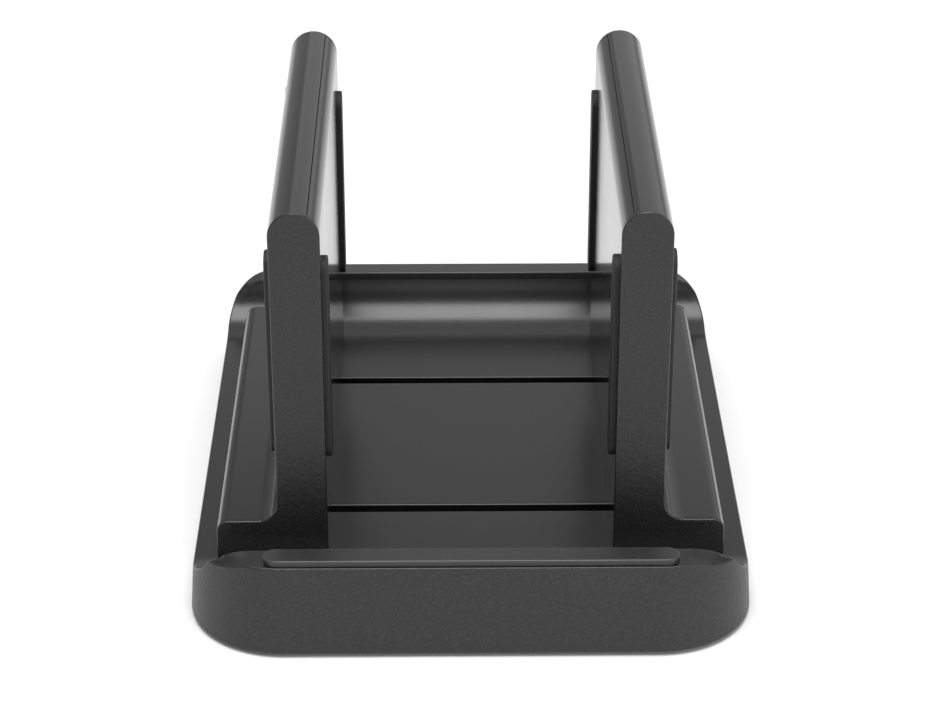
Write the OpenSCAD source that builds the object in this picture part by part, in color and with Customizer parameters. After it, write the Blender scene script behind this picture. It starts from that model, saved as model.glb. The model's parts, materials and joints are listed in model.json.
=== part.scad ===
// Adjustable vertical laptop stand: a moulded tray with a lip at the front and the rear,
// and two upright arms that slide sideways in a pair of slots across the tray floor.
// +X is to the right, +Y to the rear, +Z up. The origin is on the table under the middle.

/* [Tray] */
// Width of the tray at its underside
tray_w = 150; // [140:1:170]
// Depth of the tray at its underside
tray_d = 180; // [176:1:200]
// Radius of the tray's front corners in plan, at its underside
front_corner_r = 26; // [22:1:30]
// Radius of the tray's rear corners in plan, at its underside
rear_corner_r = 20; // [18:1:26]
// Height of the front and rear lips above the tray's underside
lip_h = 25.2; // [24.6:0.2:28]
// Height of the tray floor above the tray's underside
floor_h = 12.4; // [11.8:0.2:13]
// Thickness of the tray floor
floor_t = 3; // [2.4:0.2:3.2]
// Thickness of the other moulded walls of the tray
wall_t = 2.6; // [2:0.2:3]
// Inward lean of the outer walls, in millimetres for each millimetre of height
draft = 0.07; // [0.03:0.01:0.08]
// Radius of the hollow curve from the floor up to each lip
cove_r = 17.5; // [16:0.5:19]
// Distance from the middle of the tray to where each hollow curve starts
cove_start = 62; // [60:0.5:64]
// Radius that rounds the ends of the lips down to the open sides
lip_end_r = 11; // [9:0.5:11]

/* [Slots] */
// Distance of each cross slot from the middle of the tray
slot_y = 37; // [34:1:40]
// Width of the cross slots
slot_w = 3.4; // [3.4:0.1:4]
// Length of the cross slots
slot_len = 132; // [130:1:134]

/* [Arms] */
// Distance of each arm's centre plane from the middle, fully open
arm_x = 44.6; // [44:0.1:45.4]
// Thickness of an arm
arm_t = 13.3; // [12.5:0.1:13.8]
// Height of an arm above the tray floor
arm_h = 101.7; // [94:0.1:108]
// Length of an arm from front to rear
arm_len = 126.4; // [118:0.2:126.4]
// Height of an arm's foot
foot_h = 11.8; // [11:0.2:14]
// Distance that the foot reaches outside the arm
foot_out = 16.3; // [15:0.1:17]
// Radius along the outer top edge of the foot
foot_edge_r = 3; // [2:0.5:4]
// Radius of the hollow curve between arm and foot
foot_fillet_r = 5.5; // [4:0.5:7]
// Thickness of the cover that closes the arm's inner side
cover_t = 3.2; // [3:0.1:3.6]
// Distance that both arms are slid in from fully open
arms_in = 0; // [0:0.5:36]

/* [Pads and strips] */
// Thickness of the rubber pads on the arms
pad_t = 1.5; // [1.3:0.1:1.7]
// Width of the pads along the arm, and across their round ends
pad_w = 8; // [7:0.5:12]
// Height of the pads
pad_h = 58.2; // [50:0.2:62]
// Height of the inner pads' middle above the tray floor
pad_z = 56.8; // [54:0.1:60]
// Extra height of the outer pads
outer_pad_up = 1.6; // [0:0.1:3]
// Distance of the pads from the arm's ends
pad_inset = 4.2; // [3:0.1:8]
// Length of the rubber strips on the lips
strip_len = 107.8; // [90:0.2:110]
// Width of the rubber strips
strip_w = 6.6; // [5:0.1:7]
// Thickness of the rubber strips
strip_t = 1.7; // [1.2:0.1:2]

/* [Underside] */
// Thickness of the steel bottom plate
plate_t = 2; // [1.5:0.1:2]
// Thickness of the rubber feet
pad_foot_h = 1.2; // [1:0.1:3]
// Radius of the rubber feet
pad_foot_r = 8; // [6:0.5:9]

/* [Hidden] */
$fn = 64;

eps = 0.5;                                  // overrun of a cut past a face
slide_gap = 0.05;                           // gap between sliding flat faces
fit_gap = 0.05;                             // radial gap of a screw in its hole
charcoal = [0.13, 0.13, 0.14];
rubber_black = [0.07, 0.07, 0.075];
steel = [0.62, 0.63, 0.65];
brass = [0.78, 0.62, 0.30];

// Centre of the rounding at each lip end, which runs out into the leaning outer wall
lip_end_z = lip_h - lip_end_r;
lip_end_x = tray_w / 2 - draft * lip_end_z - lip_end_r + 0.1;

// Strips sit on the flat tops of the lips, nearer their outer edges
strip_y = tray_d / 2 - draft * lip_h - 0.85 - strip_w / 2;

// Screws
screw_r = 1.5;
hole_r = screw_r + fit_gap;
flat_head_r = 2.75;
flat_head_h = flat_head_r - screw_r;
flat_head_rim = 0.3;
cap_head_r = 2.75;
cap_head_h = 3;
key_af = 2.5;

// Bottom plate and its screws
plate_gap = 0.3;
plate_screw_len = 8;
boss_r = 4;
plate_screw_at = [[-38, -72], [38, -72], [-38, 72], [38, 72], [-30, 0], [30, 0]];
key_slot_w = 7;
key_slot_len = 124;
foot_at = [[-58, -70], [58, -70], [-58, 70], [58, 70]];

// Guide ribs under the floor, either side of each slot
shoe_w = 11.8;
shoe_len = 17;
shoe_t = 2;
rib_t = 2;
rib_h = 4.2;
rib_off = shoe_w / 2 + 0.2 + rib_t / 2;

// Arm
seam_s = arm_t / 2 - cover_t;               // parting plane, from the arm's centre plane
end_wall = 1.6;                             // end walls that carry the arm's end faces
cover_len = arm_len - 2 * end_wall - 0.1;
skin = 2.4;
clamp_s = -11.6;                            // clamp screw, from the arm's centre plane
insert_r = 2.3;
insert_h = 7;
shoe_top = -slide_gap - floor_t - slide_gap;
head_top = shoe_top - shoe_t;               // top of the clamp screw's head
lug_w = slot_w - 0.3;
lug_d = floor_t - 0.4;
lugs = [[-19.1, -14.9], [-8.3, 3.2]];       // the two guide lugs, either side of the screw
cover_screw_z = [pad_z - 15, pad_z + 15];
cover_screw_y = arm_len / 2 - pad_inset - pad_w / 2;
cover_screw_len = 9.5;
cell = 15;                                  // size of the cells between the arm's ribs
cell_pitch = 16.6;

// ---------- helpers ----------

// A block with corners rounded by rf at the front and rr at the rear, whose walls lean inward by draft
module drafted_block(w, d, rf, rr, h) {
    inset = draft * h;
    translate([0, (rf - rr) / 2, 0]) rotate([90, 0, 0]) linear_extrude(height = d - rf - rr, center = true)
        polygon([[-w / 2, 0], [w / 2, 0], [w / 2 - inset, h], [inset - w / 2, h]]);
    rotate([90, 0, 90]) linear_extrude(height = w - 2 * rf, center = true)
        polygon([[-d / 2, 0], [0, 0], [0, h], [inset - d / 2, h]]);
    rotate([90, 0, 90]) linear_extrude(height = w - 2 * rr, center = true)
        polygon([[0, 0], [d / 2, 0], [d / 2 - inset, h], [0, h]]);
    for (sx = [-1, 1]) {
        translate([sx * (w / 2 - rf), rf - d / 2, 0]) cylinder(h = h, r1 = rf, r2 = rf - inset);
        translate([sx * (w / 2 - rr), d / 2 - rr, 0]) cylinder(h = h, r1 = rr, r2 = rr - inset);
    }
}

// The space between the lips, grown outward by grow
module channel(grow) {
    low = floor_h - (grow > 0 ? floor_t : 0);
    translate([-tray_w, -cove_start, low]) cube([2 * tray_w, 2 * cove_start, lip_h]);
    for (sy = [-1, 1])
        translate([-tray_w, sy * cove_start, floor_h + cove_r])
            rotate([0, 90, 0]) cylinder(h = 2 * tray_w, r = cove_r + grow);
}

// The front view of the tray, shrunk inward by inset: a bar whose top corners are round
module lip_view(inset) {
    rotate([90, 0, 0]) linear_extrude(height = tray_d + 2, center = true) {
        translate([-tray_w, -eps]) square([2 * tray_w, lip_end_z + eps]);
        translate([-lip_end_x, -eps]) square([2 * lip_end_x, lip_h - inset + eps]);
        for (sx = [-1, 1])
            translate([sx * lip_end_x, lip_end_z]) circle(r = lip_end_r - inset);
    }
}

// A bar with half-round ends along X, lying on z = 0
module slot_bar(len, w, h) {
    translate([-(len - w) / 2, -w / 2, 0]) cube([len - w, w, h]);
    for (sx = [-1, 1]) translate([sx * (len - w) / 2, 0, 0]) cylinder(h = h, r = w / 2);
}

// A flat plate with rounded corners, lying on z = 0
module round_plate(w, d, r, h) {
    translate([-w / 2, r - d / 2, 0]) cube([w, d - 2 * r, h]);
    translate([r - w / 2, -d / 2, 0]) cube([w - 2 * r, d, h]);
    for (sx = [-1, 1], sy = [-1, 1])
        translate([sx * (w / 2 - r), sy * (d / 2 - r), 0]) cylinder(h = h, r = r);
}

// A countersunk screw that points up, with the flat of its head on z = 0; clear grows it into a hole
module flat_screw(len, clear) {
    cylinder(h = len, r = screw_r + clear);
    cylinder(h = flat_head_rim, r = flat_head_r + clear);
    translate([0, 0, flat_head_rim])
        cylinder(h = flat_head_h, r1 = flat_head_r + clear, r2 = screw_r + clear);
}

// A round pin along +X
module pin_x(len, r) {
    rotate([0, 90, 0]) cylinder(h = len, r = r);
}

// Everything of the tray's is drawn from its underside, which the rubber feet hold off the table
module on_feet() {
    translate([0, 0, pad_foot_h]) children();
}

// Everything of an arm's is drawn from the arm's centre plane and the bottom of its foot
module at_left() {
    translate([arms_in - arm_x, 0, pad_foot_h + floor_h + slide_gap]) children();
}

module at_right() {
    mirror([1, 0, 0]) at_left() children();
}

// ---------- tray ----------

module tray_inside() {
    inset = 2 * wall_t;
    difference() {
        intersection() {
            translate([0, 0, -eps])
                drafted_block(tray_w - inset, tray_d - inset, front_corner_r - wall_t,
                              rear_corner_r - wall_t, lip_h);
            lip_view(wall_t);
        }
        channel(wall_t);
    }
}

module base_tray() {
    color(charcoal) on_feet() difference() {
        union() {
            difference() {
                intersection() {
                    drafted_block(tray_w, tray_d, front_corner_r, rear_corner_r, lip_h);
                    lip_view(0);
                }
                channel(0);
                tray_inside();
            }
            for (sy = [-1, 1], side = [-1, 1])
                translate([-slot_len / 2, sy * slot_y + side * rib_off - rib_t / 2,
                           floor_h - floor_t - rib_h])
                    cube([slot_len, rib_t, rib_h + eps]);
            for (p = plate_screw_at)
                translate([p[0], p[1], plate_t]) cylinder(h = floor_h - floor_t - plate_t + 0.6, r = boss_r);
            for (p = plate_screw_at)
                if (abs(p[1]) > cove_start)
                    translate([p[0], p[1], plate_t]) cylinder(h = floor_h - plate_t + 0.6, r = boss_r);
        }
        for (sy = [-1, 1])
            translate([0, sy * slot_y, floor_h - floor_t - eps])
                slot_bar(slot_len, slot_w, floor_t + 2 * eps);
        for (p = plate_screw_at)
            translate([p[0], p[1], plate_t - eps])
                cylinder(h = plate_screw_len - plate_t + 2 * eps, r = hole_r);
    }
}

module bottom_plate() {
    inset = 2 * (wall_t + plate_gap + draft * plate_t);
    color(charcoal) on_feet() difference() {
        round_plate(tray_w - inset, tray_d - inset, front_corner_r - inset / 2, plate_t);
        for (p = plate_screw_at)
            translate([p[0], p[1], 0]) flat_screw(plate_t + eps, fit_gap);
        for (sy = [-1, 1])
            translate([0, sy * slot_y, -eps]) slot_bar(key_slot_len, key_slot_w, plate_t + 2 * eps);
    }
}

module plate_screws() {
    color(steel) on_feet() for (p = plate_screw_at)
        translate([p[0], p[1], 0]) difference() {
            flat_screw(plate_screw_len, 0);
            translate([0, 0, -eps]) cylinder(h = 1 + eps, r = 1.1, $fn = 6);
        }
}

module lip_strip(sy) {
    color(rubber_black) on_feet() translate([0, sy * strip_y, lip_h]) slot_bar(strip_len, strip_w, strip_t);
}

module front_lip_strip() { lip_strip(-1); }
module rear_lip_strip() { lip_strip(1); }

module rubber_feet() {
    color(rubber_black) for (p = foot_at) translate([p[0], p[1], 0]) cylinder(h = pad_foot_h, r = pad_foot_r);
}

// ---------- one arm, drawn as the left one ----------

// Cross-section: upright wall with a half-round top, and a foot to the outside
module arm_section() {
    r = arm_t / 2;
    foot_s = -r - foot_out;
    translate([-r, 0]) square([arm_t, arm_h - r]);
    translate([0, arm_h - r]) circle(r = r);
    translate([foot_s, 0]) square([foot_out + r, foot_h - foot_edge_r]);
    translate([foot_s + foot_edge_r, 0]) square([foot_out + r - foot_edge_r, foot_h]);
    translate([foot_s + foot_edge_r, foot_h - foot_edge_r]) circle(r = foot_edge_r);
    difference() {
        translate([-r - foot_fillet_r, foot_h - eps]) square([foot_fillet_r + eps, foot_fillet_r + eps]);
        translate([-r - foot_fillet_r, foot_h + foot_fillet_r]) circle(r = foot_fillet_r);
    }
}

module arm_bar(len) {
    rotate([90, 0, 0]) linear_extrude(height = len, center = true) arm_section();
}

// Seat of the cover, on the inner side between the end walls
module cover_seat(len) {
    translate([seam_s, -len / 2, -eps]) cube([cover_t + eps, len, arm_h + 2 * eps]);
}

// Cells that leave a grid of ribs in the wall, open to the cover
module wall_cells() {
    columns = floor((cover_len - 4) / cell_pitch);
    rows = floor((arm_h - foot_h - arm_t / 2 - 1 + cell_pitch - cell) / cell_pitch);
    for (i = [0 : columns - 1], k = [0 : rows - 1])
        translate([skin - arm_t / 2, (i - (columns - 1) / 2) * cell_pitch - cell / 2,
                   foot_h + 1 + k * cell_pitch])
            cube([arm_t, cell, cell]);
}

// Cells under the foot, between the solid blocks that hold the clamp screws
module foot_cells() {
    for (y = [-54, -20, 0, 20, 54])
        translate([-arm_t / 2 - foot_out + skin, y - 7, -eps]) cube([10, 14, foot_h - skin + eps]);
}

module arm_shell() {
    difference() {
        union() {
            difference() {
                arm_bar(arm_len);
                cover_seat(cover_len + 0.1);
                wall_cells();
                foot_cells();
            }
            for (sy = [-1, 1], z = cover_screw_z)
                translate([skin - arm_t / 2 - eps, sy * cover_screw_y, z])
                    pin_x(seam_s - skin + arm_t / 2 + eps, 3.5);
            for (sy = [-1, 1], lug = lugs)
                translate([lug[0], sy * slot_y - lug_w / 2, -lug_d])
                    cube([lug[1] - lug[0], lug_w, lug_d + eps]);
        }
        for (sy = [-1, 1], z = cover_screw_z)
            translate([arm_t / 2 - cover_screw_len - 0.2, sy * cover_screw_y, z]) pin_x(arm_t, hole_r);
        for (sy = [-1, 1])
            translate([clamp_s, sy * slot_y, -eps]) cylinder(h = insert_h + eps + 0.05, r = insert_r + 0.02);
    }
}

module arm_cover() {
    difference() {
        intersection() {
            arm_bar(cover_len);
            cover_seat(cover_len + 1);
        }
        for (sy = [-1, 1], z = cover_screw_z)
            translate([arm_t / 2, sy * cover_screw_y, z]) rotate([0, -90, 0])
                flat_screw(cover_t + eps, fit_gap);
    }
}

module cover_screws() {
    for (sy = [-1, 1], z = cover_screw_z)
        translate([arm_t / 2, sy * cover_screw_y, z]) rotate([0, -90, 0]) difference() {
            flat_screw(cover_screw_len, 0);
            translate([0, 0, -eps]) cylinder(h = 1 + eps, r = 1.1, $fn = 6);
        }
}

// A pad on the inner (side = 1) or outer (side = -1) face, at the front (sy = -1) or rear
module arm_pad(side, sy) {
    up = side < 0 ? outer_pad_up : 0;
    translate([side > 0 ? arm_t / 2 : -arm_t / 2 - pad_t, sy * cover_screw_y, pad_z + up])
        rotate([0, 90, 0]) slot_bar(pad_h, pad_w, pad_t);
}

module clamp_inserts() {
    for (sy = [-1, 1])
        translate([clamp_s, sy * slot_y, 0]) difference() {
            cylinder(h = insert_h, r = insert_r);
            translate([0, 0, -eps]) cylinder(h = insert_h + 2 * eps, r = hole_r);
        }
}

module clamp_screws() {
    for (sy = [-1, 1])
        translate([clamp_s, sy * slot_y, head_top - cap_head_h]) difference() {
            union() {
                cylinder(h = cap_head_h, r = cap_head_r);
                cylinder(h = cap_head_h + shoe_t + floor_t + 2 * slide_gap + insert_h - 0.4, r = screw_r);
            }
            translate([0, 0, -eps]) cylinder(h = 1.6 + eps, r = key_af / sqrt(3), $fn = 6);
        }
}

module clamp_shoe(sy) {
    translate([clamp_s, sy * slot_y, head_top]) difference() {
        round_plate(shoe_len, shoe_w, 2, shoe_t);
        translate([0, 0, -eps]) cylinder(h = shoe_t + 2 * eps, r = hole_r);
    }
}

module left_arm_shell() { color(charcoal) at_left() arm_shell(); }
module left_arm_cover() { color(charcoal) at_left() arm_cover(); }
module left_cover_screws() { color(steel) at_left() cover_screws(); }
module left_inner_front_pad() { color(rubber_black) at_left() arm_pad(1, -1); }
module left_inner_rear_pad() { color(rubber_black) at_left() arm_pad(1, 1); }
module left_outer_front_pad() { color(rubber_black) at_left() arm_pad(-1, -1); }
module left_outer_rear_pad() { color(rubber_black) at_left() arm_pad(-1, 1); }
module left_clamp_inserts() { color(brass) at_left() clamp_inserts(); }
module left_clamp_screws() { color(steel) at_left() clamp_screws(); }
module left_front_clamp_shoe() { color(steel) at_left() clamp_shoe(-1); }
module left_rear_clamp_shoe() { color(steel) at_left() clamp_shoe(1); }

module right_arm_shell() { color(charcoal) at_right() arm_shell(); }
module right_arm_cover() { color(charcoal) at_right() arm_cover(); }
module right_cover_screws() { color(steel) at_right() cover_screws(); }
module right_inner_front_pad() { color(rubber_black) at_right() arm_pad(1, -1); }
module right_inner_rear_pad() { color(rubber_black) at_right() arm_pad(1, 1); }
module right_outer_front_pad() { color(rubber_black) at_right() arm_pad(-1, -1); }
module right_outer_rear_pad() { color(rubber_black) at_right() arm_pad(-1, 1); }
module right_clamp_inserts() { color(brass) at_right() clamp_inserts(); }
module right_clamp_screws() { color(steel) at_right() clamp_screws(); }
module right_front_clamp_shoe() { color(steel) at_right() clamp_shoe(-1); }
module right_rear_clamp_shoe() { color(steel) at_right() clamp_shoe(1); }

base_tray();
bottom_plate();
front_lip_strip();
rear_lip_strip();
rubber_feet();
plate_screws();
left_arm_shell();
left_arm_cover();
left_cover_screws();
left_inner_front_pad();
left_inner_rear_pad();
left_outer_front_pad();
left_outer_rear_pad();
left_clamp_inserts();
left_clamp_screws();
left_front_clamp_shoe();
left_rear_clamp_shoe();
right_arm_shell();
right_arm_cover();
right_cover_screws();
right_inner_front_pad();
right_inner_rear_pad();
right_outer_front_pad();
right_outer_rear_pad();
right_clamp_inserts();
right_clamp_screws();
right_front_clamp_shoe();
right_rear_clamp_shoe();
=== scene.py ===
"""Vertical laptop stand: a moulded tray with two sliding padded arms, as a Blender scene."""
import json
import math

import bmesh
import bpy
from bpy.props import FloatProperty, FloatVectorProperty, PointerProperty
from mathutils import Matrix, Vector


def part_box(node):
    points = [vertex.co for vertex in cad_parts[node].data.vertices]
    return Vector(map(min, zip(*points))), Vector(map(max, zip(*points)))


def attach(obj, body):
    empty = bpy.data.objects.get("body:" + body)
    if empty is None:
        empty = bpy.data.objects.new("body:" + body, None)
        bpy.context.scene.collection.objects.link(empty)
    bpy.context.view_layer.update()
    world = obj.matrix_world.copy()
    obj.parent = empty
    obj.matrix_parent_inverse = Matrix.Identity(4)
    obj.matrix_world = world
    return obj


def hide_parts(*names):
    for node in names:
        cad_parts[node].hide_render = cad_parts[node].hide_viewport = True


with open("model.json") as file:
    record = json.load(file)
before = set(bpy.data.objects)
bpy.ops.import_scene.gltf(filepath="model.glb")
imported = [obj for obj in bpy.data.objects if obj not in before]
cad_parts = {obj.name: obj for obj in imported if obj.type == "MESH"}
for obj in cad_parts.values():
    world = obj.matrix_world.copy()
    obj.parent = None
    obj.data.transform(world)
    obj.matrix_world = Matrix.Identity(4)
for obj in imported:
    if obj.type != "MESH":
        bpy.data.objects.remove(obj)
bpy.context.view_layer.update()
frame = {"nodes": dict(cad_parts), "record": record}

bl_info = {
    "name": "Vertical Laptop Stand",
    "version": (1, 0, 0),
    "blender": (4, 5, 0),
    "location": "View3D > Sidebar > Stand",
    "description": "Builds a vertical laptop stand around its packed mechanical frame",
    "category": "Object",
}

MM = 0.001
TRAY_LOW, TRAY_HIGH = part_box("base_tray")
STRIP_LOW, STRIP_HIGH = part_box("front_lip_strip")
SHELL_LOW, SHELL_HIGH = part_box("left_arm_shell")
COVER_LOW, COVER_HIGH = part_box("left_arm_cover")
SIDES = {"left": -1, "right": 1}
PLAIN = (0.0, 0.0)
BROKEN = (1.0, 0.4)
GRAINED = (0.0, 1.0)


# ---------- sizes and colours ----------

class StandSizes(bpy.types.PropertyGroup):
    """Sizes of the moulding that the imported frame's boxes don't give."""

    front_corner: FloatProperty(
        name="Front corner", description="Radius of the tray's front corners in plan, at its underside",
        default=26 * MM, min=10 * MM, max=40 * MM, unit="LENGTH")
    rear_corner: FloatProperty(
        name="Rear corner", description="Radius of the tray's rear corners in plan, at its underside",
        default=20 * MM, min=10 * MM, max=40 * MM, unit="LENGTH")
    draft: FloatProperty(
        name="Draft", description="Inward lean of the tray's walls, as a slope",
        default=0.07, min=0.0, max=0.2)
    floor_height: FloatProperty(
        name="Floor height", description="Height of the tray floor above the tray's underside",
        default=12.4 * MM, min=5 * MM, max=20 * MM, unit="LENGTH")
    cove_radius: FloatProperty(
        name="Cove radius", description="Radius of the hollow curve from the floor up to each lip",
        default=17.5 * MM, min=5 * MM, max=30 * MM, unit="LENGTH")
    cove_start: FloatProperty(
        name="Cove start", description="Distance from the middle to where the hollow curve starts",
        default=62 * MM, min=40 * MM, max=80 * MM, unit="LENGTH")
    lip_end_radius: FloatProperty(
        name="Lip end radius", description="Radius that rounds the ends of the lips down to the open sides",
        default=11 * MM, min=5 * MM, max=30 * MM, unit="LENGTH")
    wall: FloatProperty(
        name="Wall", description="Thickness of the tray's outer walls",
        default=2.6 * MM, min=1 * MM, max=5 * MM, unit="LENGTH")
    slot_offset: FloatProperty(
        name="Slot offset", description="Distance of each cross slot from the middle",
        default=37 * MM, min=20 * MM, max=50 * MM, unit="LENGTH")
    slot_width: FloatProperty(
        name="Slot width", description="Width of the cross slots",
        default=3.4 * MM, min=2 * MM, max=6 * MM, unit="LENGTH")
    slot_length: FloatProperty(
        name="Slot length", description="Length of the cross slots",
        default=132 * MM, min=100 * MM, max=140 * MM, unit="LENGTH")
    tray_edge: FloatProperty(
        name="Tray edge", description="Radius that breaks the tray's edges",
        default=0.45 * MM, min=0.1 * MM, max=2 * MM, unit="LENGTH")
    corner_fall: FloatProperty(
        name="Corner fall", description="How far the front lip's top falls outwards at its corners",
        default=2.6 * MM, min=0.0, max=4 * MM, unit="LENGTH")
    arm_thickness: FloatProperty(
        name="Arm thickness", description="Thickness of an arm",
        default=13.3 * MM, min=8 * MM, max=20 * MM, unit="LENGTH")
    foot_height: FloatProperty(
        name="Foot height", description="Height of an arm's foot",
        default=11.8 * MM, min=6 * MM, max=20 * MM, unit="LENGTH")
    foot_edge: FloatProperty(
        name="Foot edge", description="Radius along the outer top edge of an arm's foot",
        default=3 * MM, min=1 * MM, max=6 * MM, unit="LENGTH")
    foot_fillet: FloatProperty(
        name="Foot fillet", description="Radius of the hollow curve between arm and foot",
        default=5.5 * MM, min=2 * MM, max=10 * MM, unit="LENGTH")
    arm_edge: FloatProperty(
        name="Arm edge", description="Radius that breaks the edges of an arm's end faces",
        default=0.4 * MM, min=0.1 * MM, max=1.5 * MM, unit="LENGTH")
    seam_chamfer: FloatProperty(
        name="Seam chamfer", description="Width of the chamfer on each side of the parting seam",
        default=0.16 * MM, min=0.05 * MM, max=0.5 * MM, unit="LENGTH")
    rubber_edge: FloatProperty(
        name="Rubber edge", description="Radius that breaks the edges of the pads and strips",
        default=0.4 * MM, min=0.1 * MM, max=1 * MM, unit="LENGTH")
    grain: FloatProperty(
        name="Grain", description="Size of the spark-eroded grain of the moulding",
        default=0.58 * MM, min=0.1 * MM, max=2 * MM, unit="LENGTH")


class StandColours(bpy.types.PropertyGroup):
    """Base colours of the stand's finishes."""

    plastic: FloatVectorProperty(
        name="Plastic", description="Black moulded plastic",
        default=(0.007, 0.007, 0.0077), min=0, max=1, size=3, subtype="COLOR")
    rubber: FloatVectorProperty(
        name="Rubber", description="Rubber of the pads and feet",
        default=(0.012, 0.012, 0.0128), min=0, max=1, size=3, subtype="COLOR")
    strip: FloatVectorProperty(
        name="Strip", description="Smoother rubber of the lip strips",
        default=(0.024, 0.024, 0.0255), min=0, max=1, size=3, subtype="COLOR")
    powder: FloatVectorProperty(
        name="Powder coat", description="Powder coat of the bottom plate",
        default=(0.02, 0.02, 0.021), min=0, max=1, size=3, subtype="COLOR")
    zinc: FloatVectorProperty(
        name="Zinc", description="Zinc-plated steel of the screws and clamp shoes",
        default=(0.55, 0.56, 0.58), min=0, max=1, size=3, subtype="COLOR")
    brass: FloatVectorProperty(
        name="Brass", description="Plain brass of the threaded inserts",
        default=(0.72, 0.55, 0.26), min=0, max=1, size=3, subtype="COLOR")


# ---------- shader maths ----------

class Value:
    """A number that varies over a surface, held as a node socket, with arithmetic that adds Math nodes."""

    def __init__(self, shader, socket):
        self.shader = shader
        self.socket = socket

    def math(self, operation, *others):
        return self.shader.node(
            "ShaderNodeMath", {"operation": operation}, {i: v for i, v in enumerate((self, *others))})

    def __add__(self, other):
        return self.math("ADD", other)

    __radd__ = __add__

    def __mul__(self, other):
        return self.math("MULTIPLY", other)

    __rmul__ = __mul__

    def __sub__(self, other):
        return self.math("SUBTRACT", other)

    def __rsub__(self, other):
        return self.shader.node("ShaderNodeMath", {"operation": "SUBTRACT"}, {0: other, 1: self})


class Shader:
    """One material: its nodes are added through node(), and end in a Principled BSDF."""

    def __init__(self, name):
        self.material = bpy.data.materials.new(name)
        self.material.use_nodes = True
        self.tree = self.material.node_tree
        self.tree.nodes.clear()

    def node(self, kind, settings=None, inputs=None, output=0):
        """Adds a node: settings first, then the values or links of its sockets. Returns one output."""
        made = self.tree.nodes.new(kind)
        for key, value in (settings or {}).items():
            setattr(made, key, value)
        for key, value in (inputs or {}).items():
            if isinstance(value, Value):
                self.tree.links.new(value.socket, made.inputs[key])
            else:
                made.inputs[key].default_value = value
        return Value(self, made.outputs[output]) if len(made.outputs) else None

    def place(self):
        """Object coordinates, in metres in the frame of the stand."""
        return self.node("ShaderNodeTexCoord", output="Object")

    def mark(self, name):
        """How far a face carries a mark such as edge or grain, 0 to 1."""
        return self.node("ShaderNodeAttribute", {"attribute_type": "GEOMETRY", "attribute_name": name},
                         output="Fac")

    def noise(self, place, size, detail=2.0, rough=0.5):
        """Noise of about 0 to 1 whose features are size metres across."""
        return self.node(
            "ShaderNodeTexNoise", {"noise_dimensions": "3D"},
            {"Vector": place, "Scale": 1 / size, "Detail": detail, "Roughness": rough})

    def ramp(self, value, low, high):
        """0 below low, 1 above high, smooth between."""
        return self.node(
            "ShaderNodeMapRange", {"interpolation_type": "SMOOTHSTEP"},
            {"Value": value, "From Min": low, "From Max": high})

    def mix(self, amount, first, second):
        """Blend of two colours."""
        return self.node(
            "ShaderNodeMix", {"data_type": "RGBA"}, {0: amount, 6: first, 7: second}, output=2)

    def finish(self, colour, rough, metal=0.0, normal=None, constants=None):
        """Adds the surface shader and the output, and returns the material."""
        inputs = {"Base Color": colour, "Roughness": rough, "Metallic": metal}
        if normal is not None:
            inputs["Normal"] = normal
        inputs.update(constants or {})
        surface = self.node("ShaderNodeBsdfPrincipled", None, inputs)
        self.node("ShaderNodeOutputMaterial", None, {"Surface": surface})
        return self.material


def shade(colour, factor):
    """A colour made lighter or darker, with alpha."""
    return (*(min(1.0, c * factor) for c in colour[:3]), 1.0)


def moulded_plastic(name, colour, grain, satin):
    """Black moulded plastic: spark-eroded grain on the marked faces, roughness satin elsewhere, and a
    painted highlight on the broken edges.
    """
    s = Shader(name)
    place = s.place()
    fine = s.noise(place, grain, 2.0, 0.6)
    coarse = s.noise(place, grain * 2.4, 2.0, 0.5)
    clouds = s.noise(place, 16 * MM, 3.0, 0.55)
    grained = s.mark("grain")
    # Painted highlight: the edge mark lightens the colour of the broken edges, made patchy by a noise.
    painted_highlight_patches = s.ramp(s.noise(place, 2.2 * MM, 4.0, 0.6), 0.42, 0.62)
    painted_highlight_mask = s.mark("edge") * (0.35 + 0.65 * painted_highlight_patches)
    tone = s.mix(clouds, shade(colour, 0.86), shade(colour, 1.14))
    speck = s.mix(s.ramp(fine, 0.4, 0.7) * (0.1 + 0.9 * grained), tone, shade(colour, 2.8))
    colour_with_painted_highlight = s.mix(painted_highlight_mask * 0.6, speck, shade(colour, 3.2))
    roughness = (satin + (0.44 - satin) * grained + 0.06 * (clouds - 0.5) + 0.1 * (fine - 0.5) * grained
                 + 0.03 * (coarse - 0.5))
    height = (fine * 0.6 + coarse * 0.4) * (0.02 + 0.98 * grained)
    normal = s.node("ShaderNodeBump", None,
                    {"Strength": 1.0, "Distance": 0.25 * MM, "Height": height})
    return s.finish(colour_with_painted_highlight, roughness, 0.0, normal, {"IOR": 1.5})


def soft_rubber(name, colour, rough=0.62):
    """Smooth matt rubber with a fine skin and faint dust; its edges are slightly shinier and carry a
    painted highlight.
    """
    s = Shader(name)
    place = s.place()
    skin = s.noise(place, 0.35 * MM, 3.0, 0.6)
    dust = s.ramp(s.noise(place, 5 * MM, 4.0, 0.6), 0.5, 0.75)
    edge = s.mark("edge")
    tone = s.mix(dust * 0.5, shade(colour, 0.9), shade(colour, 1.6))
    # Painted highlight: the edge mark lightens the colour of the broken edges.
    colour_with_painted_highlight = s.mix(edge * 0.3, tone, shade(colour, 2.2))
    normal = s.node("ShaderNodeBump", None,
                    {"Strength": 0.25, "Distance": 0.04 * MM, "Height": skin})
    return s.finish(colour_with_painted_highlight, rough + 0.12 * (skin - 0.5) + 0.08 * dust - 0.06 * edge, 0.0, normal,
                    {"IOR": 1.5})


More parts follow.
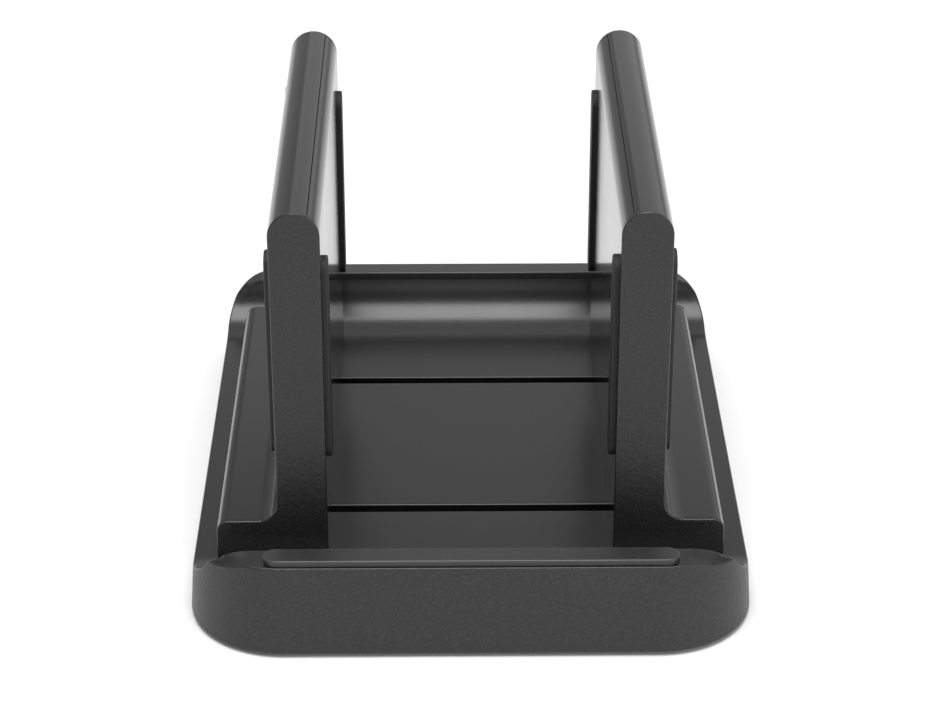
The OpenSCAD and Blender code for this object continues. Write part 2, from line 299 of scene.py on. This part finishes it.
def powder_coat(name, colour):
    """Powder-coated steel sheet: orange-peel surface with a low sheen."""
    s = Shader(name)
    place = s.place()
    peel = s.noise(place, 1.1 * MM, 2.0, 0.5)
    clouds = s.noise(place, 22 * MM, 3.0, 0.5)
    tone = s.mix(clouds, shade(colour, 0.85), shade(colour, 1.2))
    normal = s.node("ShaderNodeBump", None,
                    {"Strength": 0.3, "Distance": 0.05 * MM, "Height": peel})
    return s.finish(tone, 0.46 + 0.14 * (peel - 0.5) + 0.06 * (clouds - 0.5), 0.0, normal,
                    {"IOR": 1.5})


def plated_metal(name, colour, rough=0.3):
    """Plated or plain metal with turning marks and slight tarnish."""
    s = Shader(name)
    place = s.place()
    streaks = s.noise(
        s.node("ShaderNodeMapping", None, {"Vector": place, "Scale": (1, 1, 9)}), 0.5 * MM, 3.0, 0.6)
    tarnish = s.ramp(s.noise(place, 3 * MM, 4.0, 0.6), 0.45, 0.75)
    tone = s.mix(tarnish * 0.6, shade(colour, 1.0), shade(colour, 0.7))
    normal = s.node("ShaderNodeBump", None,
                    {"Strength": 0.2, "Distance": 0.03 * MM, "Height": streaks})
    return s.finish(tone, rough + 0.15 * (streaks - 0.5) + 0.12 * tarnish, 1.0, normal)


# ---------- mesh helpers ----------

def arc(centre, radius, start, end, steps):
    """Points of an arc in a plane, angles in degrees, both ends included."""
    points = []
    for i in range(steps + 1):
        a = math.radians(start + (end - start) * i / steps)
        points.append((centre[0] + radius * math.cos(a), centre[1] + radius * math.sin(a)))
    return points


def loft(rings, edge_bands=(), grained_ends=False):
    """Corners, faces and marks of a closed solid through rings of equal length.

    A face's mark is a pair: 1 on a broken edge, and 1 on a grained face."""
    count = len(rings[0])
    corners = [p for ring in rings for p in ring]
    faces = []
    marks = []
    for k in range(len(rings) - 1):
        for i in range(count):
            j = (i + 1) % count
            faces.append((k * count + i, k * count + j, (k + 1) * count + j, (k + 1) * count + i))
            marks.append(BROKEN if k in edge_bands else PLAIN)
    last = (len(rings) - 1) * count
    faces.append(tuple(reversed(range(count))))
    faces.append(tuple(range(last, last + count)))
    marks += [GRAINED if grained_ends else PLAIN] * 2
    return corners, faces, marks


def piece(name, corners, faces, marks, material, body, node):
    """A shown piece: a clean closed mesh that rides on a body and stands for a CAD node."""
    mesh = bpy.data.meshes.new(name)
    mesh.from_pydata(corners, [], faces)
    for place, mark in enumerate(("edge", "grain")):
        mesh.attributes.new(mark, "FLOAT", "FACE").data.foreach_set("value", [m[place] for m in marks])
    shape = bmesh.new()
    shape.from_mesh(mesh)
    bmesh.ops.remove_doubles(shape, verts=shape.verts, dist=0.002 * MM)
    bmesh.ops.dissolve_degenerate(shape, edges=shape.edges, dist=0.001 * MM)
    bmesh.ops.recalc_face_normals(shape, faces=shape.faces)
    shape.to_mesh(mesh)
    shape.free()
    made = bpy.data.objects.new(name, mesh)
    bpy.context.scene.collection.objects.link(made)
    mesh.materials.append(material)
    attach(made, body)
    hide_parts(node)
    return made


def smooth(made, angle=32):
    """Smooth shading that keeps large faces flat and edges steeper than angle sharp."""
    made.data.shade_smooth()
    made.data.set_sharp_from_angle(angle=math.radians(angle))
    weighted = made.modifiers.new("Flat faces stay flat", "WEIGHTED_NORMAL")
    weighted.keep_sharp = True
    weighted.weight = 90


def carve(made, cutters):
    """Takes the cutters out of the piece for good."""
    for cutter in cutters:
        cut = made.modifiers.new("Cut", "BOOLEAN")
        cut.operation = "DIFFERENCE"
        cut.solver = "EXACT"
        cut.object = cutter
    bpy.context.view_layer.update()
    result = bpy.data.meshes.new_from_object(
        made.evaluated_get(bpy.context.evaluated_depsgraph_get()))
    old = made.data
    made.modifiers.clear()
    made.data = result
    result.name = old.name
    bpy.data.meshes.remove(old)
    for cutter in cutters:
        bpy.data.objects.remove(cutter)


def stadium(length, width, inset, steps=14):
    """Outline of a bar with half-round ends, centred, shrunk by inset."""
    reach = (length - width) / 2
    radius = width / 2 - inset
    return (arc((reach, 0), radius, -90, 90, steps) + arc((-reach, 0), radius, 90, 270, steps))


def quarter(radius, steps=4):
    """Steps round a quarter circle, from the wall to the flat: (inset, distance below the flat)."""
    return [(radius * (1 - math.cos(math.radians(90 * k / steps))),
             radius * (1 - math.sin(math.radians(90 * k / steps)))) for k in range(steps + 1)]


# ---------- the tray ----------

def half_outline(radius, sign):
    """Right half of one end of the underside outline, from the middle out.

    A point is (x, y, outward x, outward y). The points lie close together where the hollow curve
    rises to the lip, from fine_from to fine_to."""
    centre = TRAY_HIGH.y - radius
    fine_from = 60 * MM
    fine_to = 79.5 * MM
    gap = 0.25 * MM
    last = 26
    steps = 3 * int((centre - fine_from) / MM) + 2
    plain = [0.0, 20 * MM, 34 * MM, 48 * MM, 56 * MM, fine_from]
    plain += [fine_from + (centre - fine_from) * k / steps for k in range(1, steps + 1)]
    turns = []
    turn = 0.0
    while centre + radius * math.sin(turn) < fine_to:
        turn += gap / (radius * math.cos(turn))
        turns.append(turn)
    turns += [turn + (math.pi / 2 - turn) * k / last for k in range(1, last + 1)]
    half = [(TRAY_HIGH.x, sign * y, 1.0, 0.0) for y in plain]
    for turn in turns:
        c, s = math.cos(turn), math.sin(turn)
        half.append((TRAY_HIGH.x - radius + radius * c, sign * (centre + radius * s), c, sign * s))
    return half


class TrayForm:
    """Heights of the tray's upper surface."""

    def __init__(self, size):
        self.size = size
        self.lip = TRAY_HIGH.z - TRAY_LOW.z
        low = self.lip - size.lip_end_radius
        self.lip_end = TRAY_HIGH.x - size.draft * low - size.lip_end_radius + 0.1 * MM
        self.blend = 1.4 * MM

    def lip_curve(self, x):
        over = abs(x) - self.lip_end
        radius = self.size.lip_end_radius
        if over <= 0:
            return self.lip
        return self.lip - radius + math.sqrt(max(0.0, radius ** 2 - over ** 2))

    def cove_curve(self, y):
        over = abs(y) - self.size.cove_start
        radius = self.size.cove_radius
        if over <= 0:
            return self.size.floor_height
        if over >= radius:
            return self.size.floor_height + radius + over
        return self.size.floor_height + radius - math.sqrt(radius ** 2 - over ** 2)

    def height(self, x, y):
        """Upper surface above the tray's underside, its edges blended round."""
        a, b = self.lip_curve(x), self.cove_curve(y)
        near = max(self.blend - abs(a - b), 0.0) / self.blend
        return min(a, b) - near * near * self.blend / 4 - self.fall(x, y)

    def fall(self, x, y):
        """How far the front lip's top has fallen there, outwards round its corners."""
        radius = self.size.front_corner
        across = abs(x) - TRAY_HIGH.x + radius
        along = -y - TRAY_HIGH.y + radius
        if across <= 0 or along <= 0:
            return 0.0
        turn = math.degrees(math.atan2(along, across))
        start, reach = 0.68, 0.26       # shares of the corner's radius
        middle, spread = 45, 17         # degrees round the corner
        out = max(0.0, (math.hypot(across, along) / radius - start) / reach)
        return self.size.corner_fall * out ** 1.5 * math.exp(-((turn - middle) / spread) ** 2)

    def settle(self, rim, inset):
        """Point that is inset from the leaning wall at its own height."""
        x, y, nx, ny = rim
        z = self.size.floor_height
        for _ in range(5):
            d = inset + self.size.draft * z
            z = self.height(x - nx * d, y - ny * d)
        return x - nx * d, y - ny * d, z


class STAND_OT_tray(bpy.types.Operator):
    """Build the moulded tray with its lips, hollow curves and cross slots."""

    bl_idname = "stand.tray"
    bl_label = "Tray"

    def execute(self, context):
        size = context.scene.stand_sizes
        form = TrayForm(size)
        side = half_outline(size.front_corner, -1)[:0:-1] + half_outline(size.rear_corner, 1)
        inset = 2.9 * MM

        fine = 56
        outer = [0.84 + 0.16 * k / fine for k in range(fine + 1)]
        columns = [-u for u in reversed(outer)] + [-0.6, -0.3, 0.0, 0.3, 0.6] + outer
        corners = []
        marks = []
        faces = []
        for rim in side:
            edge_x, y, _ = form.settle(rim, inset)
            for u in columns:
                x = u * edge_x
                corners.append((x, y, form.height(x, y)))
        across = len(columns)
        rows = len(side)
        for j in range(rows - 1):
            for i in range(across - 1):
                a = j * across + i
                faces.append((a, a + 1, a + 1 + across, a + across))
                marks.append(PLAIN)

        loop = [((rows - 1 - j) * across, (-x, y, -nx, ny)) for j, (x, y, nx, ny) in
                enumerate(reversed(side))]
        front = side[0]
        rear = side[-1]
        loop += [(i, (columns[i] * front[0], front[1], 0.0, -1.0)) for i in range(1, across - 1)]
        loop += [(j * across + across - 1, rim) for j, rim in enumerate(side)]
        loop += [((rows - 1) * across + i, (columns[i] * rear[0], rear[1], 0.0, 1.0))
                 for i in range(across - 2, 0, -1)]
        below = [index for index, _ in loop]

        def ring(points, mark):
            start = len(corners)
            corners.extend(points)
            fresh = list(range(start, start + len(points)))
            for i in range(len(loop)):
                j = (i + 1) % len(loop)
                faces.append((below[i], below[j], fresh[j], fresh[i]))
                marks.append(mark)
            below[:] = fresh

        for reach in (1.6 * MM, 0.9 * MM, size.tray_edge):
            ring([form.settle(rim, reach) for _, rim in loop], PLAIN)
        for reach, drop in reversed(quarter(size.tray_edge, 5)[:-1]):
            points = [form.settle(rim, reach) for _, rim in loop]
            ring([(x, y, z - drop) for x, y, z in points], BROKEN)
        top = [corners[i] for i in below]
        lower_edge = 0.5 * MM
        for share in (0.33, 0.66, 1.0):
            points = []
            for (_, (x, y, nx, ny)), (_, _, high) in zip(loop, top):
                z = high + (lower_edge - high) * share
                points.append((x - nx * size.draft * z, y - ny * size.draft * z, z))
            ring(points, GRAINED)
        for reach, drop in quarter(lower_edge, 3)[1:]:
            back = reach + size.draft * lower_edge
            ring([(x - nx * back, y - ny * back, drop) for _, (x, y, nx, ny) in loop], BROKEN)
        floor_thickness = 3 * MM
        ceiling = size.floor_height - floor_thickness
        for z in (0.0, ceiling):
            back = size.wall + size.draft * z
            ring([(x - nx * back, y - ny * back, z) for _, (x, y, nx, ny) in loop], PLAIN)
        faces.append(tuple(below))
        marks.append(PLAIN)

        lift = TRAY_LOW.z
        corners = [(x, y, z + lift) for x, y, z in corners]
        tray = piece("tray_moulding", corners, faces, marks, context.scene["finishes"]["tray"], "tray",
                     "base_tray")
        cutters = []
        break_r = 0.4 * MM
        for sign in (-1, 1):
            rings = [[(x, y + sign * size.slot_offset, lift + size.floor_height - 5 * MM)
                      for x, y in stadium(size.slot_length, size.slot_width, 0)]]
            for reach, drop in quarter(break_r, 4):
                rings.append([(x, y + sign * size.slot_offset,
                               lift + size.floor_height - drop + 0.01 * MM)
                              for x, y in stadium(size.slot_length, size.slot_width, -reach)])
            rings.append([(x, y + sign * size.slot_offset, lift + size.floor_height + 2 * MM)
                          for x, y in stadium(size.slot_length, size.slot_width, -break_r - 0.02 * MM)])
            tool_corners, tool_faces, _ = loft(rings)
            tool_mesh = bpy.data.meshes.new("slot_tool")
            tool_mesh.from_pydata(tool_corners, [], tool_faces)
            tool = bpy.data.objects.new("slot_tool", tool_mesh)
            context.scene.collection.objects.link(tool)
            cutters.append(tool)
        carve(tray, cutters)
        smooth(tray, 40)
        return {"FINISHED"}


class STAND_OT_strips(bpy.types.Operator):
    """Build the rubber strips on top of the lips."""

    bl_idname = "stand.strips"
    bl_label = "Lip strips"

    def execute(self, context):
        size = context.scene.stand_sizes
        length = STRIP_HIGH.x - STRIP_LOW.x
        width = STRIP_HIGH.y - STRIP_LOW.y
        for name in ("front_lip_strip", "rear_lip_strip"):
            low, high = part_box(name)
            middle = (low.y + high.y) / 2
            rings = [(low.z, 0.0)]
            rings += [(high.z - drop, reach) for reach, drop in quarter(1.25 * size.rubber_edge, 4)]
            corners, faces, marks = loft(
                [[(x, y + middle, z) for x, y in stadium(length, width, inset)] for z, inset in rings],
                edge_bands=range(1, 5))
            smooth(piece(name + "_rubber", corners, faces, marks, context.scene["finishes"]["strip"],
                         "tray", name))
        return {"FINISHED"}


class STAND_OT_feet(bpy.types.Operator):
    """Build the rubber feet, each with a shallow ring in its sole."""

    bl_idname = "stand.feet"
    bl_label = "Rubber feet"

    def execute(self, context):
        low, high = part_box("rubber_feet")
        radius = 8 * MM
        profile = [(radius, high.z), (radius, 0.35 * MM), (radius - 0.1 * MM, 0.1 * MM),
                   (radius - 0.35 * MM, 0.0), (radius - 1.6 * MM, 0.0), (radius - 1.8 * MM, 0.25 * MM),
                   (radius - 2.6 * MM, 0.25 * MM), (radius - 2.8 * MM, 0.0)]
        number = 0
        for cx in (low.x + radius, high.x - radius):
            for cy in (low.y + radius, high.y - radius):
                number += 1
                rings = [[(cx + r * math.cos(math.tau * i / 48), cy + r * math.sin(math.tau * i / 48), z)
                          for i in range(48)] for r, z in profile]
                corners, faces, marks = loft(rings, edge_bands=(1, 2))
                smooth(piece(f"rubber_foot_{number}", corners, faces, marks,
                             context.scene["finishes"]["foot"], "tray", "rubber_feet"))
        return {"FINISHED"}


# ---------- the arms ----------

class ArmForm:
    """Cross-section of an arm, s across it towards the middle of the stand and z up from its foot."""

    def __init__(self, size):
        self.size = size
        self.half = size.arm_thickness / 2
        self.seam = self.half - (COVER_HIGH.x - COVER_LOW.x)
        self.base = COVER_LOW.z
        self.high = SHELL_HIGH.z - self.base
        self.outer = -(SHELL_HIGH.x - SHELL_LOW.x - self.half)
        self.centre = SHELL_HIGH.x - self.half
        self.length = SHELL_HIGH.y - SHELL_LOW.y
        self.cover_length = COVER_HIGH.y - COVER_LOW.y
        self.seam_angle = math.degrees(math.acos(self.seam / self.half))

    def outline(self, inset):
        """The whole cross-section, shrunk by inset."""
        size = self.size
        half, foot = self.half, size.foot_height
        small = 0.4 * MM
        keep = max(small, inset)
        top = (0.0, self.high - half)
        fillet = (-half - size.foot_fillet, foot + size.foot_fillet)
        edge = (self.outer + size.foot_edge, foot - size.foot_edge)
        chamfer = math.degrees(math.asin(min(1.0, size.seam_chamfer / half))) * 1.2
        points = arc((half - keep, keep), keep - inset, -90, 0, 3)
        points += arc(top, half - inset, 0, self.seam_angle, 14)
        points += arc(top, half - inset, self.seam_angle + chamfer, 180, 26)
        points += arc(fillet, size.foot_fillet + inset, 0, -90, 12)
        points += arc(edge, size.foot_edge - inset, 90, 180, 10)
        points += arc((self.outer + keep, keep), keep - inset, 180, 270, 3)
        return points

    def cut_outline(self):
        """The cross-section without the cover's share, its seam edge broken."""
        points = []
        crown = self.high - self.half + math.sqrt(self.half ** 2 - self.seam ** 2)
        for s, z in self.outline(0):
            if s >= self.seam - 1e-7 and z > 0:
                points.append((self.seam, min(z, crown - self.size.seam_chamfer)))
            else:
                points.append((s, z))
        return points

    def cover_outline(self, inset):
        """The cover's cross-section, shrunk by inset."""
        size = self.size
        seam = self.seam + 0.05 * MM + inset
        outer = self.half - inset
        start = math.degrees(math.acos((seam + size.seam_chamfer) / outer))
        crown = self.high - self.half + math.sqrt(outer ** 2 - (seam + size.seam_chamfer) ** 2)
        points = [(seam, inset), (outer, inset)]
        points += arc((0.0, self.high - self.half), outer, 0, start, 14)
        points.append((seam, crown - size.seam_chamfer))
        return points


def place_arm(sign, form, points, y):
    """Points (s, z) of an arm's cross-section at depth y, in the frame of the stand."""
    centre = -form.centre * sign
    return [(centre - sign * s, y, z + form.base) for s, z in points]


class STAND_OT_arms(bpy.types.Operator):
    """Build both arms: the L-shaped shell, and the cover on its inner side with its parting seam."""

    bl_idname = "stand.arms"
    bl_label = "Arms"

    def execute(self, context):
        size = context.scene.stand_sizes
        form = ArmForm(size)
        finish = context.scene["finishes"]["arm"]
        half_len = form.length / 2
        step = form.cover_length / 2 + 0.05 * MM
        lid = form.cover_length / 2
        for side, sign in SIDES.items():
            rings = []
            for reach, drop in reversed(quarter(size.arm_edge, 4)):
                rings.append((form.outline(reach), -half_len + drop))
            rings += [(form.outline(0), -step), (form.cut_outline(), -step)]
            rings += [(points, -y) for points, y in reversed(rings)]
            corners, faces, marks = loft([place_arm(sign, form, points, y) for points, y in rings],
                                         edge_bands=(0, 1, 2, 3, 8, 9, 10, 11), grained_ends=True)
            smooth(piece(f"{side}_arm_body", corners, faces, marks, finish, f"{side}_arm",
                         f"{side}_arm_shell"), 38)
            rings = [(form.cover_outline(reach), -lid + drop)
                     for reach, drop in reversed(quarter(size.seam_chamfer, 3))]
            rings += [(points, -y) for points, y in reversed(rings)]
            corners, faces, marks = loft([place_arm(sign, form, points, y) for points, y in rings],
                                         edge_bands=(0, 1, 2, 4, 5, 6))
            smooth(piece(f"{side}_arm_lid", corners, faces, marks, finish, f"{side}_arm",
                         f"{side}_arm_cover"), 38)
        return {"FINISHED"}


class STAND_OT_pads(bpy.types.Operator):
    """Build the rubber pads on the inner and outer faces of the arms."""

    bl_idname = "stand.pads"
    bl_label = "Arm pads"

    def execute(self, context):
        size = context.scene.stand_sizes
        names = [n for n in frame["nodes"] if n.endswith("_pad")]
        for name in sorted(names):
            low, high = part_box(name)
            side = name.split("_")[0]
            facing = SIDES[side] * (-1 if "inner" in name else 1)
            cy, cz = (low.y + high.y) / 2, (low.z + high.z) / 2
            base, face = (low.x, high.x) if facing > 0 else (high.x, low.x)
            rings = [(base, 0.0)]
            rings += [(face - facing * drop, reach) for reach, drop in quarter(size.rubber_edge, 4)]
            corners, faces, marks = loft(
                [[(x, cy + b, cz + a) for a, b in stadium(high.z - low.z, high.y - low.y, inset)]
                 for x, inset in rings], edge_bands=range(1, 5))
            smooth(piece(name + "_rubber", corners, faces, marks, context.scene["finishes"]["pad"],
                         f"{side}_arm", name))
        return {"FINISHED"}


class STAND_OT_hardware(bpy.types.Operator):
    """Give the bottom plate, screws, clamp shoes and inserts their metal finishes."""

    bl_idname = "stand.hardware"
    bl_label = "Plate and fasteners"

    def execute(self, context):
        by_slot = {"plate_steel": "plate", "screw_steel": "screw", "shoe_steel": "shoe",
                   "insert_brass": "insert"}
        given = {row["node"]: row["material_slot"] for row in frame["record"]["subparts"]}
        for name, node in frame["nodes"].items():
            key = by_slot.get(given[name])
            if key is None:
                continue
            if not node.material_slots:
                node.data.materials.append(None)
            for slot in node.material_slots:
                slot.link = "OBJECT"
                slot.material = context.scene["finishes"][key]
        return {"FINISHED"}


class STAND_OT_finishes(bpy.types.Operator):
    """Make the stand's materials."""

    bl_idname = "stand.finishes"
    bl_label = "Finishes"

    def execute(self, context):
        colours = context.scene.stand_colours
        grain = context.scene.stand_sizes.grain
        context.scene["finishes"] = {
            "tray": moulded_plastic("Tray plastic", colours.plastic, grain, 0.25),
            "arm": moulded_plastic("Arm plastic", colours.plastic, grain, 0.15),
            "strip": soft_rubber("Strip rubber", colours.strip, 0.36),
            "pad": soft_rubber("Pad rubber", colours.rubber),
            "foot": soft_rubber("Foot rubber", colours.rubber, 0.7),
            "plate": powder_coat("Powder coat", colours.powder),
            "screw": plated_metal("Zinc plate", colours.zinc),
            "shoe": plated_metal("Pressed zinc plate", colours.zinc, 0.4),
            "insert": plated_metal("Brass", colours.brass, 0.28),
        }
        return {"FINISHED"}


# ---------- the stage ----------

def soft_light(name, where, aim, width, height, glow):
    """A rectangular softbox that faces aim, glow times as bright as a white card in full light."""
    data = bpy.data.lights.new(name, "AREA")
    data.shape = "RECTANGLE"
    data.size = width
    data.size_y = height
    data.energy = glow * math.pi * width * height
    lamp = bpy.data.objects.new(name, data)
    bpy.context.scene.collection.objects.link(lamp)
    lamp.location = where
    lamp.visible_camera = False
    lamp.rotation_mode = "QUATERNION"
    lamp.rotation_quaternion = (Vector(aim) - Vector(where)).to_track_quat("-Z", "Y")


class STAND_OT_stage(bpy.types.Operator):
    """Set up the pale floor, the soft studio light and the camera."""

    bl_idname = "stand.stage"
    bl_label = "Stage"

    def execute(self, context):
        scene = context.scene
        scene.view_settings.view_transform = "Standard"
        mesh = bpy.data.meshes.new("studio_floor")
        mesh.from_pydata([(-6, -6, 0), (6, -6, 0), (6, 6, 0), (-6, 6, 0)], [], [(0, 1, 2, 3)])
        floor = bpy.data.objects.new("studio_floor", mesh)
        scene.collection.objects.link(floor)
        s = Shader("Pale floor")
        mottle = s.noise(s.place(), 60 * MM, 2.0, 0.5)
        mesh.materials.append(s.finish(s.mix(mottle, (0.88, 0.88, 0.88, 1), (0.9, 0.9, 0.9, 1)),
                                       0.8 + 0.1 * mottle))

        world = bpy.data.worlds.new("Studio")
        world.use_nodes = True
        backdrop = world.node_tree.nodes["Background"]
        backdrop.inputs["Color"].default_value = (1.0, 1.0, 1.0, 1.0)
        backdrop.inputs["Strength"].default_value = 0.45
        scene.world = world
        soft_light("Overhead softbox", (-0.05, -0.36, 1.25), (0, 0, 0.05), 0.82, 0.78, 7.3)
        soft_light("Top softbox", (0.1, 0.62, 1.4), (0, 0.1, 0.05), 2.0, 1.0, 0.7)
        soft_light("Rear softbox", (0.62, 1.9, 0.75), (0, 0, 0.05), 2.1, 1.0, 0.35)
        soft_light("Front softbox", (0.6, -2.2, 0.5), (0, 0, 0.06), 2.2, 1.1, 0.8)
        soft_light("Right softbox", (1.1, -0.9, 0.5), (0, 0, 0.06), 0.8, 0.8, 2.0)

        data = bpy.data.cameras.new("Camera")
        data.sensor_width = 36
        data.lens = 102.73
        data.clip_start = 0.01
        data.clip_end = 50
        camera = bpy.data.objects.new("Camera", data)
        scene.collection.objects.link(camera)
        turn, tilt = math.radians(-0.544), math.radians(27.884)
        aim = Vector((0.4 * MM, 0, 42.5 * MM))
        distance = 760 * MM
        back = Vector((math.sin(turn) * math.cos(tilt), -math.cos(turn) * math.cos(tilt), math.sin(tilt)))
        camera.location = aim + distance * back
        camera.rotation_mode = "QUATERNION"
        camera.rotation_quaternion = (-back).to_track_quat("-Z", "Y")
        scene.camera = camera
        return {"FINISHED"}


# ---------- add-on ----------

STEPS = (STAND_OT_finishes, STAND_OT_tray, STAND_OT_strips, STAND_OT_feet, STAND_OT_arms, STAND_OT_pads,
         STAND_OT_hardware, STAND_OT_stage)


class STAND_PT_panel(bpy.types.Panel):
    """Sidebar panel that lists the stand's sizes, colours and pieces."""

    bl_idname = "STAND_PT_panel"
    bl_label = "Vertical laptop stand"
    bl_space_type = "VIEW_3D"
    bl_region_type = "UI"
    bl_category = "Stand"

    def draw(self, context):
        for group in (context.scene.stand_sizes, context.scene.stand_colours):
            box = self.layout.box()
            for key in group.bl_rna.properties.keys():
                if key not in ("rna_type", "name"):
                    box.prop(group, key)
        for step in STEPS:
            self.layout.operator(step.bl_idname)


CLASSES = (StandSizes, StandColours, *STEPS, STAND_PT_panel)


def register():
    for cls in CLASSES:
        bpy.utils.register_class(cls)
    bpy.types.Scene.stand_sizes = PointerProperty(type=StandSizes)
    bpy.types.Scene.stand_colours = PointerProperty(type=StandColours)


def unregister():
    del bpy.types.Scene.stand_colours
    del bpy.types.Scene.stand_sizes
    for cls in reversed(CLASSES):
        bpy.utils.unregister_class(cls)


def main():
    register()
    for step in STEPS:
        group, name = step.bl_idname.split(".")
        getattr(getattr(bpy.ops, group), name)()


if __name__ == "__main__":
    main()
